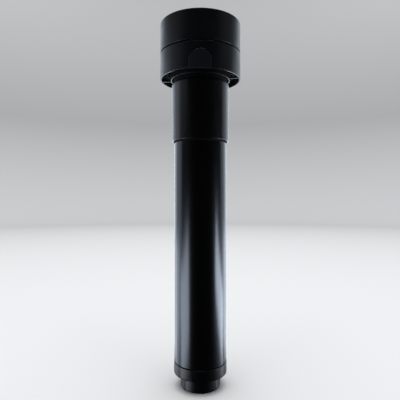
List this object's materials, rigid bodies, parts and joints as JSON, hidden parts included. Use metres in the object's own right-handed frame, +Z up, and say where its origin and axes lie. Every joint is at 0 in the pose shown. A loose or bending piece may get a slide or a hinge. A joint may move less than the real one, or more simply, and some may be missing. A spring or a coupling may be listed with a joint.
{
  "type": "sous vide circulator",
  "caption": "Upright stick circulator: round head with a turning dial, neck sleeve, long dark steel tube, end cap with a narrow foot, and a sprung pot clip behind.",
  "frame": {"origin": "centre of the foot pad's lower face, on the surface that the circulator stands on", "axes": "+Z up the tube to the head, -Y towards the front window, +Y towards the pot clip"},
  "size_m": [0.0784, 0.0784, 0.3511],
  "materials": {
    "head_plastic": "satin black moulded ABS",
    "sleeve_plastic": "satin black glass-filled nylon",
    "core_plastic": "matt black nylon",
    "window": "smoked polycarbonate",
    "tube_steel": "black-coated stainless steel, polished",
    "steel": "plain stainless steel",
    "screws": "black-oxide steel",
    "spring_steel": "drawn spring wire",
    "aluminium": "die-cast",
    "magnet": "sintered ferrite",
    "silicone": "matt black silicone rubber",
    "circuit_board": "green solder mask on glass laminate",
    "component": "moulded black",
    "pump_plastic": "natural PPS, moulded"
  },
  "bodies": {
    "housing": {"lower_housing": "head_plastic", "top_cap": "head_plastic", "neck_sleeve": "sleeve_plastic", "clip_bracket": "sleeve_plastic", "neck_core": "core_plastic", "inner_frame": "core_plastic", "display_window": "window", "clip_pin": "steel", "motor_can": "steel", "core_rod_1": "steel", "core_rod_2": "steel", "core_rod_3": "steel", "heater_coil": "steel", "temperature_probe": "steel", "level_electrode_1": "steel", "level_electrode_2": "steel", "board_spacer_1": "steel", "board_spacer_2": "steel", "board_spacer_3": "steel", "frame_screw_1": "screws", "frame_screw_2": "screws", "frame_screw_3": "screws", "frame_screw_4": "screws", "neck_screw_1": "screws", "neck_screw_2": "screws", "bracket_screw_1": "screws", "bracket_screw_2": "screws", "button_spring": "spring_steel", "clip_spring": "spring_steel", "motor_bracket": "aluminium", "stator_magnet": "magnet", "cable_gland": "silicone", "skirt_seal": "silicone", "shaft_seal": "silicone", "control_board": "circuit_board", "power_board": "circuit_board", "button_switch": "component", "display_module": "component", "filter_capacitor_1": "component", "filter_capacitor_2": "component", "heater_relay": "component", "supply_transformer": "component", "bearing_spider": "pump_plastic", "lower_bush": "pump_plastic"},
    "dial": {"dial_ring": "head_plastic", "dial_magnet_ring": "magnet"},
    "button": {"start_button": "head_plastic"},
    "rotor": {"drive_shaft": "steel", "motor_rotor": "steel", "cooling_fan": "component", "impeller": "pump_plastic"},
    "skirt": {"skirt_tube": "tube_steel"},
    "tube_end": {"end_cap": "sleeve_plastic", "foot": "sleeve_plastic", "foot_pad": "silicone", "foot_magnet": "magnet", "foot_screw": "screws"},
    "clip": {"clip_arm": "sleeve_plastic", "clip_pad": "silicone"}
  },
  "joints": [
    {"name": "dial_turn", "type": "hinge", "parent": "housing", "child": "dial", "pos_m": [0, 0, 0.337], "axis": [0, 0, 1], "continuous": true},
    {"name": "button_press", "type": "slide", "parent": "housing", "child": "button", "axis": [0, 0, -1], "range_m": [0, 0.0008], "stiffness_N_per_m": 1500, "springref_m": -0.0006, "deforming": ["button_spring"]},
    {"name": "rotor_spin", "type": "hinge", "parent": "housing", "child": "rotor", "pos_m": [0, 0, 0.16], "axis": [0, 0, 1], "continuous": true},
    {"name": "skirt_twist", "type": "hinge", "parent": "housing", "child": "skirt", "pos_m": [0, 0, 0.24], "axis": [0, 0, 1], "range_deg": [0, 30]},
    {"name": "end_cap_pull", "type": "slide", "parent": "skirt", "child": "tube_end", "axis": [0, 0, -1], "range_m": [0, 0.012]},
    {"name": "clip_open", "type": "hinge", "parent": "housing", "child": "clip", "pos_m": [0, 0.0332, 0.262], "axis": [1, 0, 0], "range_deg": [0, 16], "stiffness_Nm_per_rad": 0.6, "springref_deg": -22.92}
  ]
}
